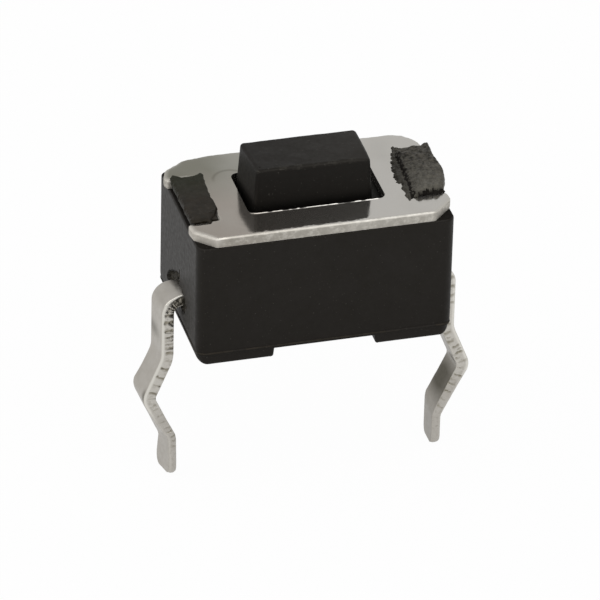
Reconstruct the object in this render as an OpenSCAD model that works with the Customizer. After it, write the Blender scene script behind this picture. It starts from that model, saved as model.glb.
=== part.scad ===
// Push switch, 6.0 x 3.5 mm, 4.3 mm high, with two formed through-hole legs.
// X runs along the housing from leg to leg, Y across it, Z up from the board.
// The origin is the middle of the footprint, on the board's surface.

/* [Housing] */
// Length of the housing along X
body_l = 6.0; // [5.8:0.1:6.6]
// Width of the housing along Y
body_w = 3.5; // [3.3:0.1:4.2]
// Height of the housing's top face above the board
body_h = 3.1; // [2.9:0.1:3.6]
// Radius of the housing's upright edges
corner_r = 0.24; // [0.1:0.02:0.4]
// Height of the feet, and so of the channel between them
foot_h = 0.25; // [0.15:0.05:0.4]
// Length of each foot along X
foot_l = 1.76; // [1.2:0.02:2.2]
// Step in from the end wall to the foot
foot_inset = 0.04; // [0.02:0.02:0.2]
// Radius of the feet's outer upright edges
foot_r = 0.25; // [0.15:0.05:0.4]
// Radius that rounds the feet's ends into their undersides
foot_end_r = 0.2; // [0.1:0.05:0.4]

/* [Cover plate] */
// Thickness of the stamped cover plate
plate_t = 0.25; // [0.2:0.05:0.3]
// Corner chamfer of the plate, measured along each side
plate_chamfer = 0.48; // [0.3:0.02:0.7]
// Radius that blends the two front chamfers into the sides
front_blend_r = 0.25; // [0.1:0.05:0.6]
// Radius that blends the two back chamfers into the sides
back_blend_r = 0.55; // [0.1:0.05:0.6]
// Length of the hole that the button passes through
hole_l = 3.2; // [3.1:0.05:3.4]
// Width of that hole
hole_w = 1.8; // [1.7:0.05:2.0]
// Corner radius of that hole
hole_r = 0.18; // [0.1:0.02:0.3]

/* [Button] */
// Height of the button's top above the board
button_h = 4.3; // [4.0:0.1:6]
// Length of the button's top
button_l = 2.64; // [2.2:0.04:2.8]
// Width of the button's top
button_w = 1.32; // [1.0:0.04:1.4]
// Draft of the button's sides, in degrees
button_draft = 4; // [0:1:5]
// Radius of the button's upright edges
button_side_r = 0.1; // [0.08:0.02:0.3]
// Radius of the edges round the button's top
button_edge_r = 0.07; // [0.02:0.01:0.08]
// Thickness of the flange that the plate holds down
flange_t = 0.4; // [0.3:0.05:0.5]
// How far the flange reaches past the plate's hole on each side
flange_lap = 0.2; // [0.15:0.05:0.25]
// Diameter of the plunger that presses the dome
plunger_d = 0.9; // [0.7:0.1:1.2]
// Travel of the button
travel = 0.25; // [0.15:0.05:0.3]
// How far the button sits off the middle of its hole, within its play
button_shift = -0.05; // [-0.06:0.01:0.06]

/* [Snap dome] */
// Diameter of the dome over its rim
dome_d = 2.7; // [2.4:0.1:2.7]
// Thickness of the dome's sheet
dome_t = 0.07; // [0.05:0.01:0.1]
// Height of the floor that the dome stands on
floor_z = 1.17; // [1.15:0.01:1.3]
// How far the fixed contact stands above that floor
contact_rise = 0.06; // [0.04:0.01:0.1]

/* [Legs] */
// Thickness of the leg strip
leg_t = 0.3; // [0.2:0.05:0.3]
// Width of the leg strip
leg_w = 0.7; // [0.5:0.05:0.9]
// Height of the left strip's mid-plane where it leaves the end wall
leg_exit_z = 0.93; // [0.8:0.01:0.95]
// How far the right strip and leg, which end in the fixed contact, sit below the left ones
right_drop = 0.15; // [0:0.01:0.2]
// Gap between the end wall and the upright leg
leg_gap = 0.2; // [0.15:0.05:0.4]
// Inside radius of the shoulder bend
shoulder_r = 0.15; // [0.05:0.05:0.2]
// Distance between the two leg tips, centre to centre
tip_pitch = 6.4; // [6.2:0.1:6.6]
// Distance between the two kinks, centre to centre
kink_pitch = 7.58; // [7.2:0.02:7.9]
// Depth below the board's surface where the left leg starts to lean out
lean_z = 0.63; // [0.5:0.01:0.9]
// Depth of the left leg's kink
kink_z = 1.68; // [1.5:0.02:1.9]
// Depth where the left leg's straight tip starts
tip_start_z = 2.9; // [2.7:0.02:3.2]
// Depth of the left leg's tip
leg_depth = 3.9; // [3.8:0.05:4.5]
// Thickness of the pressed tip
tip_t = 0.22; // [0.15:0.01:0.28]
// Mid-line radius of the bend where the leg starts to lean out
lean_r = 0.8; // [0.2:0.1:1.2]
// Mid-line radius of the kink
kink_r = 0.3; // [0.2:0.05:0.4]
// Mid-line radius of the bend into the straight tip
tip_bend_r = 0.5; // [0.2:0.05:0.8]

/* [Stakes] */
// Length of each stake post along X
post_l = 0.55; // [0.4:0.05:0.6]
// Width of each stake post along Y
post_w = 1.9; // [1.5:0.1:2.0]
// Step in from the end wall to the post
post_inset = 0.1; // [0.05:0.05:0.15]
// Height of the left, pressed-flat stake head above the plate
left_head_t = 0.05; // [0.03:0.01:0.1]
// Height of the right, swollen stake head above the plate
right_head_t = 0.23; // [0.15:0.01:0.3]

/* [Clearances] */
// Running clearance between the flange and its pocket, on each side
guide_gap = 0.1; // [0.08:0.01:0.12]
// Clearance above the flange at rest, and below it when pressed
stop_gap = 0.02; // [0.01:0.01:0.04]
// Clearance around the dome in its pocket
dome_gap = 0.1; // [0.05:0.01:0.12]
// Clearance between a stake post and the plate's notch
post_gap = 0.03; // [0.02:0.01:0.05]

/* [Hidden] */
$fn = 48;
FINE = 180;
ARC_STEPS = 6;
OVERLAP = 0.05;
LAYER = 0.001;
black = [0.14, 0.13, 0.12];
nickel = [0.69, 0.68, 0.66];
tin = [0.68, 0.66, 0.63];
plate_top = body_h + plate_t;
leg_x = body_l / 2 + leg_gap + leg_t / 2;
strip_top = leg_exit_z + leg_t / 2;
flange_l = hole_l + 2 * flange_lap;
flange_w = hole_w + 2 * flange_lap;
flange_top = body_h - stop_gap;
flange_z = flange_top - flange_t;
pocket_z = flange_z - travel - stop_gap;
contact_top = floor_z + contact_rise;
dome_under = contact_top + travel;
dome_top = dome_under + dome_t;
dome_rise = dome_under - floor_z;
post_x = body_l / 2 - post_inset - post_l / 2;
// Slot in the end wall around the strip, and the torn arch above and behind it,
// whose points are counted from the middle of the strip's top
slot_depth = 0.2;
slot_gap = 0.03;
arch = [[-0.42, -0.28], [-0.4, 0.05], [-0.08, 0.1], [0.02, 0.26], [0.12, 0.34], [0.3, 0.25], [0.75, -0.02],
        [0.95, -0.21], [0.95, -0.28]];
// Contact pads that the strips carry up to the dome
pad_l = 0.35;
pad_x = dome_d / 2 - pad_l / 2;
contact_d = 0.7;
// Outlines of the melted stake heads. Each point is a place on the post, from -1 to 1 along
// X and Y, with X towards the end wall, and then how far the plastic ran past that place.
left_head = [
    [1, 1, 0.07, 0.03], [0.9, 1, 0, 0.12], [0.2, 1, 0, 0.01], [-1, 1, -0.04, 0.05], [-1, 1, -0.13, 0.11],
    [-1, 0, -0.09, 0], [-1, -0.5, -0.12, 0], [-1, -0.8, -0.05, 0], [-0.7, -1, 0, -0.17],
    [0.5, -1, 0, -0.02], [1, -1, 0.03, -0.07], [1, -0.85, 0.08, 0]
];
right_foot = [
    [1, 1, 0.05, 0.08], [-1, 1, -0.06, 0.1], [-1, 0.8, -0.16, 0], [-1, 0.45, -0.18, 0], [-1, 0.3, -0.28, 0],
    [-1, -0.1, -0.3, 0], [-1, -0.4, -0.22, 0], [-1, -0.6, -0.2, 0], [-1, -0.75, -0.27, 0], [-1, -1, -0.27, -0.2],
    [-1, -1, -0.14, -0.26], [-0.6, -1, 0, -0.14], [0.6, -1, 0, -0.15], [1, -0.85, 0.04, 0]
];
right_slab = [
    [1, 0.85, 0.12, 0], [0.9, 0.9, 0, 0], [-1, 0.82, 0.02, 0], [-1, 0.3, -0.08, 0], [-1, -0.3, 0, 0],
    [-1, -0.8, 0.05, 0], [-0.8, -1, 0, -0.12], [0.8, -1, 0, -0.1], [1, -0.9, 0.1, 0], [1, -0.3, 0.16, 0]
];
head_foot_t = 0.08;

// Points of an arc that rounds the corner b of the path a, b, c
function corner(a, b, c, r) =
    let (
        u = (b - a) / norm(b - a),
        v = (c - b) / norm(c - b),
        turn = atan2(cross(u, v), u * v),
        side = sign(turn),
        start = b - u * r * tan(abs(turn) / 2),
        left = [-u.y, u.x]
    )
    [for (i = [0:ARC_STEPS])
        let (angle = turn * i / ARC_STEPS, n = [left.x * cos(angle) - left.y * sin(angle),
                                               left.x * sin(angle) + left.y * cos(angle)])
        [start + side * r * (left - n), n]];

// Outline whose corners are rounded, each by its own radius, and stay sharp where that is 0
module soft_polygon(points, radii) {
    last = len(points);
    polygon([for (i = [0:last - 1])
        each radii[i] == 0
            ? [points[i]]
            : [for (s = corner(points[(i + last - 1) % last], points[i], points[(i + 1) % last], radii[i])) s[0]]]);
}

// Block on z = 0 with round upright edges
module soft_block(l, w, h, r) {
    linear_extrude(h) {
        square([l - 2 * r, w], center = true);
        square([l, w - 2 * r], center = true);
        for (x = [-1, 1], y = [-1, 1])
            translate([x * (l / 2 - r), y * (w / 2 - r)]) circle(r);
    }
}

// Extrudes an X-Z outline along Y, centred on Y = 0
module along_y(w) {
    translate([0, w / 2, 0]) rotate([90, 0, 0]) linear_extrude(w) children();
}

// Extrudes a Y-Z outline along X, from X = 0
module along_x(l) {
    rotate([90, 0, 90]) linear_extrude(l) children();
}

// Mid-line of a leg in X-Z: each sample is a point and the unit normal on its left
function leg_line(inner_x) =
    let (
        foot_x = tip_pitch / 2,
        path = [
            [inner_x, leg_exit_z],
            [leg_x, leg_exit_z],
            [leg_x, -lean_z],
            [kink_pitch / 2, -kink_z],
            [foot_x, -tip_start_z],
            [foot_x, -leg_depth]
        ],
        radii = [shoulder_r + leg_t / 2, lean_r, kink_r, tip_bend_r]
    )
    concat(
        [[path[0], [0, 1]]],
        [for (i = [1:4]) each corner(path[i - 1], path[i], path[i + 1], radii[i - 1])],
        [[path[5], [1, 0]]]
    );

// Half the strip's thickness at a height: full down to the tip, then pressed thinner
function half_t(z) =
    let (t = min(1, max(0, (-z - kink_z) / (tip_start_z - kink_z))))
    (leg_t + (tip_t - leg_t) * t) / 2;

// Formed leg of the right-hand side, with its strip running in to inner_x
module leg(inner_x) {
    line = leg_line(inner_x);
    outer = [for (s = line) s[0] + s[1] * half_t(s[0].y)];
    inner = [for (i = [len(line) - 1:-1:0]) line[i][0] - line[i][1] * half_t(line[i][0].y)];
    intersection() {
        along_y(leg_w) polygon(concat(outer, inner));
        translate([inner_x - 1, 0, 0]) along_x(leg_x + kink_pitch) leg_face();
    }
}

// Face of the strip seen along X: straight sides and a rounded tip
module leg_face() {
    tip_r = leg_w / 2 - OVERLAP;
    translate([0, tip_r - leg_depth]) {
        translate([-leg_w / 2, 0]) square([leg_w, leg_depth + strip_top]);
        square([leg_w - 2 * tip_r, 2 * tip_r], center = true);
        for (y = [-1, 1])
            translate([y * (leg_w / 2 - tip_r), 0]) circle(tip_r);
    }
}

// Left leg and its strip, which ends in a pad under the dome's rim
module left_terminal() {
    color(tin)
        mirror([1, 0, 0]) {
            leg(pad_x - pad_l / 2);
            translate([pad_x - pad_l / 2, -leg_w / 2, strip_top - OVERLAP])
                cube([pad_l, leg_w, floor_z - strip_top + OVERLAP]);
        }
}

// Right leg and its strip, which ends in the fixed contact under the dome's middle
module right_terminal() {
    color(tin)
        translate([0, 0, -right_drop]) {
            leg(-contact_d / 2);
            translate([0, 0, strip_top - OVERLAP])
                cylinder(d = contact_d, h = contact_top + right_drop - strip_top + OVERLAP);
        }
}

// Thin domed disc: a spherical cap of one thickness
module snap_dome() {
    rim = dome_d / 2;
    outer_r = (rim * rim + (dome_rise + dome_t) * (dome_rise + dome_t)) / (2 * (dome_rise + dome_t));
    inner_r = outer_r - dome_t;
    color(nickel)
        translate([0, 0, dome_top - outer_r])
            rotate_extrude($fn = FINE)
                intersection() {
                    difference() {
                        circle(outer_r, $fn = FINE);
                        circle(inner_r, $fn = FINE);
                    }
                    translate([0, outer_r - dome_top + floor_z]) square([rim, dome_top]);
                }
}

// Drafted button above the plate, a flange below it and a plunger down to the dome
module button() {
    color(black)
        translate([button_shift, 0, 0]) {
            button_cap();
            translate([0, 0, flange_z]) soft_block(flange_l, flange_w, flange_t, hole_r);
            translate([0, 0, dome_top]) cylinder(d = plunger_d, h = flange_z - dome_top + OVERLAP);
        }
}

// Cap that spreads from its top down to the flange, with rounded edges
module button_cap() {
    foot = flange_top - OVERLAP;
    hull() {
        cap_layer(foot, (button_h - foot) * tan(button_draft));
        for (i = [0:ARC_STEPS])
            cap_layer(button_h - button_edge_r * (1 - sin(90 * i / ARC_STEPS)) - LAYER,
                      -button_edge_r * (1 - cos(90 * i / ARC_STEPS)));
    }
}

// Thin layer of the cap at a height, larger than the cap's top by spread on each side
module cap_layer(z, spread) {
    translate([0, 0, z])
        soft_block(button_l + 2 * spread, button_w + 2 * spread, LAYER, button_side_r + min(0, spread), $fn = 32);
}

// Stamped plate with chamfered corners, the button's hole and a notch for each stake
module cover_plate() {
    x = body_l / 2;
    y = body_w / 2;
    c = plate_chamfer;
    front = front_blend_r;
    back = back_blend_r;
    color(nickel)
        translate([0, 0, body_h])
            difference() {
                linear_extrude(plate_t)
                    soft_polygon([
                        [x, c - y], [x, y - c], [x - c, y], [c - x, y],
                        [-x, y - c], [-x, c - y], [c - x, -y], [x - c, -y]
                    ], [front, back, back, back, back, front, front, front]);
                translate([0, 0, -OVERLAP]) soft_block(hole_l, hole_w, plate_t + 2 * OVERLAP, hole_r);
                for (side = [-1, 1])
                    translate([side * (post_x + post_l / 2 - post_gap), 0, plate_t / 2])
                        cube([2 * post_l, post_w + 2 * post_gap, plate_t + 2 * OVERLAP], center = true);
            }
}

// Closed outline of a stake head on the right-hand post
function head(points) =
    [for (p = points) [post_x + p[0] * post_l / 2 + p[2], p[1] * post_w / 2 + p[3]]];

// Swollen head: a ragged sheet with a thick slab on it, whose outer edge curls down
module swollen_head() {
    outer = body_l / 2 + OVERLAP;
    inner = post_x - post_l;
    linear_extrude(head_foot_t) polygon(head(right_foot));
    intersection() {
        linear_extrude(right_head_t) polygon(head(right_slab));
        along_y(2 * post_w)
            polygon(concat(
                [[inner, 0], [outer, 0]],
                [for (s = corner([outer, 0], [outer, right_head_t], [inner, 0.85 * right_head_t],
                                 right_head_t / 2)) s[0]],
                [[inner, 0.85 * right_head_t]]
            ));
    }
}

// Both feet, with the open channel between them
module feet() {
    whole_l = body_l - 2 * foot_inset;
    x = whole_l / 2;
    top = foot_h + OVERLAP;
    end_r = min(foot_end_r, foot_h);
    difference() {
        intersection() {
            soft_block(whole_l, body_w, top, foot_r);
            along_y(body_w) soft_polygon([[-x, top], [-x, 0], [x, 0], [x, top]], [0, end_r, end_r, 0]);
        }
        cube([whole_l - 2 * foot_l, 2 * body_w, 2 * foot_h], center = true);
    }
}

// Moulded housing with feet, the button's pocket, slots for the strips and two stakes
module housing() {
    color(black) {
        difference() {
            union() {
                translate([0, 0, foot_h]) soft_block(body_l, body_w, body_h - foot_h, corner_r);
                feet();
                for (side = [-1, 1])
                    translate([side * post_x, 0, body_h + plate_t / 2])
                        cube([post_l, post_w, plate_t + OVERLAP], center = true);
            }
            translate([0, 0, pocket_z])
                soft_block(flange_l + 2 * guide_gap, flange_w + 2 * guide_gap, body_h - pocket_z + OVERLAP,
                           hole_r + guide_gap);
            translate([0, 0, floor_z]) cylinder(d = dome_d + 2 * dome_gap, h = pocket_z - floor_z + OVERLAP);
            mirror([1, 0, 0]) strip_channel(pad_x - pad_l / 2);
            translate([0, 0, -right_drop]) strip_channel(-contact_d / 2);
            translate([-pad_x - pad_l / 2, -leg_w / 2, leg_exit_z]) cube([pad_l, leg_w, floor_z]);
            translate([0, 0, leg_exit_z - right_drop]) cylinder(d = contact_d, h = floor_z);
        }
        translate([0, 0, plate_top]) {
            mirror([1, 0, 0]) linear_extrude(left_head_t) polygon(head(left_head));
            swollen_head();
        }
    }
}

// Room for the right-hand strip, from inner_x out through the slot in the end wall
module strip_channel(inner_x) {
    translate([inner_x, -leg_w / 2, leg_exit_z - leg_t / 2]) cube([body_l, leg_w, leg_t]);
    translate([body_l / 2 - slot_depth, 0, 0])
        along_x(slot_depth + OVERLAP) {
            translate([0, leg_exit_z])
                square([leg_w + 2 * slot_gap, leg_t + 2 * slot_gap], center = true);
            translate([0, strip_top]) polygon(arch);
        }
}

housing();
cover_plate();
button();
snap_dome();
left_terminal();
right_terminal();
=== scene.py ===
import math

import bmesh
import bpy
import numpy as np
from mathutils import Matrix, Vector, geometry


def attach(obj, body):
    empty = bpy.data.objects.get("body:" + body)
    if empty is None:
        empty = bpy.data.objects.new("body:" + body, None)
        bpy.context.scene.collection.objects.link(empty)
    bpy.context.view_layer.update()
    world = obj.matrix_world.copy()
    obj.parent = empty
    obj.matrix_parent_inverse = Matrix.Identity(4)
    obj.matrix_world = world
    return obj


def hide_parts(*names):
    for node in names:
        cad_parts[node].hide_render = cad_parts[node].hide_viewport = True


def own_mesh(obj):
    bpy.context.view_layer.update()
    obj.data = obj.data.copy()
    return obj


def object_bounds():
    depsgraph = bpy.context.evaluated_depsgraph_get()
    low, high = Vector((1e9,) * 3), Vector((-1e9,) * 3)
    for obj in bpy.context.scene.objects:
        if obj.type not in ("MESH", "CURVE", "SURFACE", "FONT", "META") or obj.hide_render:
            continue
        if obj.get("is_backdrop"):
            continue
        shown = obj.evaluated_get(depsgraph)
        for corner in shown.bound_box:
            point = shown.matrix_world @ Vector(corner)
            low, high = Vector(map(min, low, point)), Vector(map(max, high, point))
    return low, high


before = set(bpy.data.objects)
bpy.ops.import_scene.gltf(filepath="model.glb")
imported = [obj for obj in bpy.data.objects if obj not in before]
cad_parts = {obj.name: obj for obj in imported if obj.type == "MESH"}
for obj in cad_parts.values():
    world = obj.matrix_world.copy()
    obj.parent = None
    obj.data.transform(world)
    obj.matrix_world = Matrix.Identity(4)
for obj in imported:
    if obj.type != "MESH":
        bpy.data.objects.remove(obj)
cad_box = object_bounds()


# ---- Housing -------------------------------------------------------------------------------
# One black glass-filled nylon moulding: the walls, two feet with a channel between them, the
# pocket for the button and the dome, and two posts. The posts come up through the plate and
# are melted down over it, the left one pressed flat and the right one swollen and ragged.

MM = 0.001
body_half = (3.0, 1.75)
body_base, body_top = 0.25, 3.1
plate_top = 3.35


def rounded_outline(corners, radii, pitch):
    """Closed outline of straight runs and arcs, anticlockwise, with its outward unit normals.

    The arc at a corner starts r tan(turn / 2) before it and swings through the turn with radius
    r. Each straight run is split evenly, close to the pitch given for the side after its corner."""
    corners = np.asarray(corners, float)
    count = len(corners)
    radii, pitch = np.broadcast_to(radii, count), np.broadcast_to(pitch, count)
    ahead = np.roll(corners, -1, 0) - corners
    ahead /= np.linalg.norm(ahead, axis=1)[:, None]
    behind = np.roll(ahead, 1, 0)
    turn = np.arctan2(behind[:, 0] * ahead[:, 1] - behind[:, 1] * ahead[:, 0], (behind * ahead).sum(1))
    reach = (radii * np.tan(abs(turn) / 2))[:, None]
    starts, ends = corners - behind * reach, corners + ahead * reach
    points, normals = [], []
    for i in range(count):
        steps = max(3, int(np.ceil(abs(turn[i]) * radii[i] / 0.025)), int(abs(turn[i]) / 0.25))
        swing = turn[i] * np.linspace(0, 1, steps + 1)[:, None]
        right = np.array([behind[i, 1], -behind[i, 0]])
        out = right * np.cos(swing) + behind[i] * np.sin(swing)
        points.append(starts[i] + np.sign(turn[i]) * radii[i] * (out - right))
        normals.append(out)
        run = starts[(i + 1) % count] - ends[i]
        pieces = max(1, int(round(np.linalg.norm(run) / pitch[i])))
        share = np.linspace(0, 1, pieces + 1)[1:-1, None]
        points.append(ends[i] + run * share)
        normals.append(np.broadcast_to([ahead[i, 1], -ahead[i, 0]], (len(share), 2)))
    return np.concatenate(points), np.concatenate(normals)


def rectangle(x0, x1, y0, y1, radii, pitch):
    """Rounded outline of an upright rectangle; sides run bottom, right, top, left."""
    return rounded_outline([(x0, y0), (x1, y0), (x1, y1), (x0, y1)], radii, pitch)


def ring(radius, count=96):
    """Circle of points and the unit normals out of it."""
    angle = np.linspace(0, 2 * math.pi, count, endpoint=False)
    out = np.stack([np.cos(angle), np.sin(angle)], 1)
    return out * radius, out


def carried(outline, profile):
    """Wall that carries a profile of (distance out, height) pairs round an outline.

    Row i, column j is point j moved along its normal by distance i, at height i. The quads join
    each row to the next and close round the columns."""
    points, normals = outline
    profile = np.asarray(profile, float)
    flat = points[None] + normals[None] * profile[:, 0, None, None]
    tall = np.broadcast_to(profile[:, 1, None, None], flat.shape[:2] + (1,))
    return np.concatenate([flat, tall], 2), rows_to_quads(len(profile), len(points))


def rows_to_quads(rows, columns):
    """Quads of a closed wall whose point at row i, column j has number i * columns + j."""
    i, j = np.mgrid[0:rows - 1, 0:columns]
    k = (j + 1) % columns
    return np.stack([i * columns + j, i * columns + k,
                     (i + 1) * columns + k, (i + 1) * columns + j], -1).reshape(-1, 4)


def arc_profile(start, end, middle, steps=5):
    """Quarter-round between two (distance out, height) pairs about a middle:
    middle + (start - middle) cos t + (end - middle) sin t, with t from 0 to a right angle."""
    t = np.linspace(0, math.pi / 2, steps + 1)[:, None]
    start, end, middle = (np.asarray(p, float) for p in (start, end, middle))
    return middle + (start - middle) * np.cos(t) + (end - middle) * np.sin(t)


def depth_inside(points, outline):
    """Distance of each point from the nearest side of an outline, positive inside it and negative
    outside. A point is inside where a ray along X crosses the sides an odd number of times."""
    a, b = outline, np.roll(outline, -1, 0)
    side = b - a
    rel = points[:, None] - a[None]
    share = np.clip((rel * side).sum(-1) / np.maximum((side * side).sum(-1), 1e-12), 0, 1)
    gap = np.linalg.norm(rel - share[..., None] * side, axis=-1).min(1)
    y, ya, yb = points[:, 1, None], a[:, 1], b[:, 1]
    spans = (ya > y) != (yb > y)
    rise = np.where(yb == ya, 1e-12, yb - ya)
    crossed = spans & (points[:, 0, None] < a[:, 0] + (y - ya) * side[:, 0] / rise)
    return np.where(crossed.sum(1) % 2 == 1, gap, -gap)


def sheet(outlines, height, inner=()):
    """Flat or raised sheet over the area that an odd number of outlines enclose.

    The outlines and the inner points are joined by Delaunay triangles, the triangles whose middle
    lies outside are dropped, and each point gets its z from height(points)."""
    points = np.concatenate([*outlines, *inner])
    sides, first = [], 0
    for outline in outlines:
        n = np.arange(len(outline))
        sides.append(np.stack([n, (n + 1) % len(n)], 1) + first)
        first += len(outline)
    made = geometry.delaunay_2d_cdt([Vector(p) for p in points.tolist()],
                                    np.concatenate(sides).tolist(), [], 0, 1e-7)
    flat, triangles = np.array(made[0]), np.array(made[2])
    middle = flat[triangles].mean(1)
    odd = sum((depth_inside(middle, o) > 0).astype(int) for o in outlines) % 2 == 1
    return np.column_stack([flat, height(flat)]), triangles[odd]


def level(z):
    """Height of a flat sheet."""
    return lambda flat: np.full(len(flat), float(z))


def cap(grid, row, z):
    """Flat sheet at height z that closes one row of a wall."""
    return sheet([grid[row, :, :2]], level(z))


def inner_grid(outline, pitch, margin):
    """Points of a square grid that lie inside an outline by at least a margin."""
    low, high = outline.min(0), outline.max(0)
    x, y = np.meshgrid(np.arange(low[0], high[0], pitch), np.arange(low[1], high[1], pitch))
    points = np.stack([x.ravel(), y.ravel()], 1)
    return points[depth_inside(points, outline) > margin]


def noise(points, size, seed):
    """Smooth random value from -1 to 1 at each point of a plane: random numbers at the corners of
    squares of one size, blended across each square by 3 t^2 - 2 t^3."""
    cell = points / size
    low = np.floor(cell).astype(np.int64)
    t = cell - low
    t = t * t * (3 - 2 * t)
    corner = lambda dx, dy: np.modf(np.abs(np.sin((low[:, 0] + dx) * 127.1 + (low[:, 1] + dy) * 311.7
                                                   + seed * 74.7)) * 43758.5453)[0]
    near = corner(0, 0) * (1 - t[:, 0]) + corner(1, 0) * t[:, 0]
    far = corner(0, 1) * (1 - t[:, 0]) + corner(1, 1) * t[:, 0]
    return 2 * (near * (1 - t[:, 1]) + far * t[:, 1]) - 1


def make_piece(name, sheets, values=None, crease=38):
    """Mesh object from sheets in millimetres whose edges meet. The doubles along the seams are
    merged, the faces are turned outwards, and edges bent by more than the crease stay sharp.
    values are attributes with one number for each point."""
    points = np.concatenate([s[0].reshape(-1, 3) for s in sheets]) * MM
    faces, first = [], 0
    for s in sheets:
        faces += (s[1] + first).tolist()
        first += len(s[0].reshape(-1, 3))
    mesh = bpy.data.meshes.new(name)
    mesh.from_pydata(points.tolist(), [], faces)
    for key, numbers in (values or {}).items():
        mesh.attributes.new(key, "FLOAT", "POINT").data.foreach_set("value", np.asarray(numbers, np.float32))
    shape = bmesh.new()
    shape.from_mesh(mesh)
    bmesh.ops.remove_doubles(shape, verts=shape.verts, dist=2e-7)
    bmesh.ops.dissolve_degenerate(shape, edges=shape.edges, dist=5e-8)
    bmesh.ops.recalc_face_normals(shape, faces=shape.faces)
    shape.to_mesh(mesh)
    shape.free()
    mesh.shade_smooth()
    mesh.set_sharp_from_angle(angle=math.radians(crease))
    piece = bpy.data.objects.new(name, mesh)
    bpy.context.scene.collection.objects.link(piece)
    return piece


# Walls, with a fine bead along the parting line. Three shapes are sunk into both end walls, in
# places (Y, Z) from the strip's middle: its slot, 0.2 mm deep, the torn arch over it, 0.11 mm deep
# and rough, and a chip of 0.05 mm beside it. The foot of the end walls draws in by 0.035 mm.
strip_z = {-1: 0.93, 1: 0.78}
slot_outline = np.array([(-0.38, -0.18), (0.38, -0.18), (0.38, 0.18), (-0.38, 0.18)])
arch_outline = np.array([
    (-0.45, -0.2), (1.0, -0.2), (0.97, -0.06), (0.85, 0.04), (0.5, 0.27), (0.2, 0.43),
    (-0.15, 0.56), (-0.1, 0.4), (0.0, 0.28), (-0.3, 0.22), (-0.45, 0.12)])
chip_outline = np.array([(-0.85, 0.08), (-0.36, 0.25), (-0.36, -0.35), (-0.6, -0.26)])
body_outline = rectangle(-body_half[0], body_half[0], -body_half[1], body_half[1],
                         [0.24, 0.24, 0.24, 0.12], [0.15, 0.02, 0.15, 0.02])
wall_heights = np.concatenate([np.linspace(0.35, 0.56, 6), np.arange(0.6, 1.5, 0.02),
                               np.linspace(1.5, 3.02, 14)])
parting_bead = [(-0.02, 0.24), (0, 0.26), (0, 0.3), (0.018, 0.306), (0.02, 0.32), (0, 0.338)]
wall, wall_quads = carried(body_outline, np.concatenate([
    parting_bead, np.column_stack([wall_heights * 0, wall_heights]),
    arc_profile((0, 3.03), (-0.07, 3.1), (-0.07, 3.03))]))
side_of = np.sign(wall[..., 0])
strip_height = np.where(side_of < 0, strip_z[-1], strip_z[1])
face_on = np.stack([wall[..., 1], wall[..., 2] - strip_height], 2).reshape(-1, 2)
torn = face_on + 0.03 * np.stack([noise(face_on, 0.05, 1), noise(face_on, 0.04, 2)], 1)
in_slot = depth_inside(face_on, slot_outline)
in_arch, in_chip = depth_inside(torn, arch_outline), depth_inside(torn, chip_outline)
sunk = np.maximum(0.2 * np.clip(in_slot / 0.03 + 0.5, 0, 1),
                  (0.11 + 0.05 * noise(face_on * (0.6, 1), 0.09, 3)) * np.clip(in_arch / 0.03 + 0.5, 0, 1))
sunk = np.maximum(sunk, 0.05 * np.clip(in_chip / 0.12, 0, 1) * (1 + 0.5 * noise(face_on, 0.06, 4)))
sunk = sunk.reshape(wall.shape[:2]) + 0.035 * np.clip((0.55 - wall[..., 2]) / 0.3, 0, 1) ** 2
at_end = np.clip((abs(wall[..., 0]) - 2.85) / 0.15, 0, 1) ** 8
wall[..., 0] -= side_of * at_end * sunk

# Pocket for the flange, and below it the round well for the dome.
pocket = rectangle(-1.9, 1.9, -1.2, 1.2, 0.28, 0.2)
well = ring(1.45)
pocket_floor, well_floor = 2.41, 1.17
well_wall, well_quads = carried(well, [(0, pocket_floor), (0, well_floor)])
inside = [
    sheet([wall[-1, :, :2], pocket[0]], level(body_top)),
    carried(pocket, [(0, body_top), (0, pocket_floor)]),
    sheet([pocket[0], well[0]], level(pocket_floor)),
    (well_wall, well_quads),
    cap(well_wall, -1, well_floor),
    cap(wall, 0, body_base),
]

# Feet, a hair's breadth behind the walls, so that a fine ledge runs along the parting line. Their
# lower edge is rounded by 0.07 mm at the sides and by 0.2 mm at the end walls.
feet, foot_top = [], 0.3
for side in (-1, 1):
    low, high = sorted((side * 1.2, side * 2.96))
    radii = [0.25, 0.04, 0.04, 0.25] if side < 0 else [0.04, 0.25, 0.25, 0.04]
    outline, out = rectangle(low, high, -1.735, 1.735, radii, 0.2)
    ease = 0.07 + 0.13 * np.clip(side * out[:, 0], 0, 1) ** 2
    turn = np.linspace(0, math.pi / 2, 9)[:, None]
    inward = np.concatenate([ease[None] * 0, ease * (1 - np.cos(turn))])
    height = np.concatenate([foot_top + 0 * ease[None], ease * (1 - np.sin(turn))])
    slant = 0.03 * np.clip(-side * out[:, 0], 0, 1) * height / foot_top
    grid = np.concatenate([outline[None] + out[None] * (slant - inward)[..., None], height[..., None]], 2)
    feet += [(grid, rows_to_quads(*height.shape)), cap(grid, 0, foot_top), cap(grid, -1, 0)]


def ragged(points, step, depth, seed):
    """Outline redrawn with a point every step, each pushed in or out along its normal by noise n.
    The finer part, 1 - 2 |n|, rises to sharp points."""
    line, normals = rounded_outline(points, 0.015, step)
    push = depth * (0.5 * noise(line, 0.09, seed) + 0.6 * (1 - 2 * abs(noise(line, 0.05, seed + 1))) - 0.2)
    return line + normals * push[:, None], normals


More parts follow.
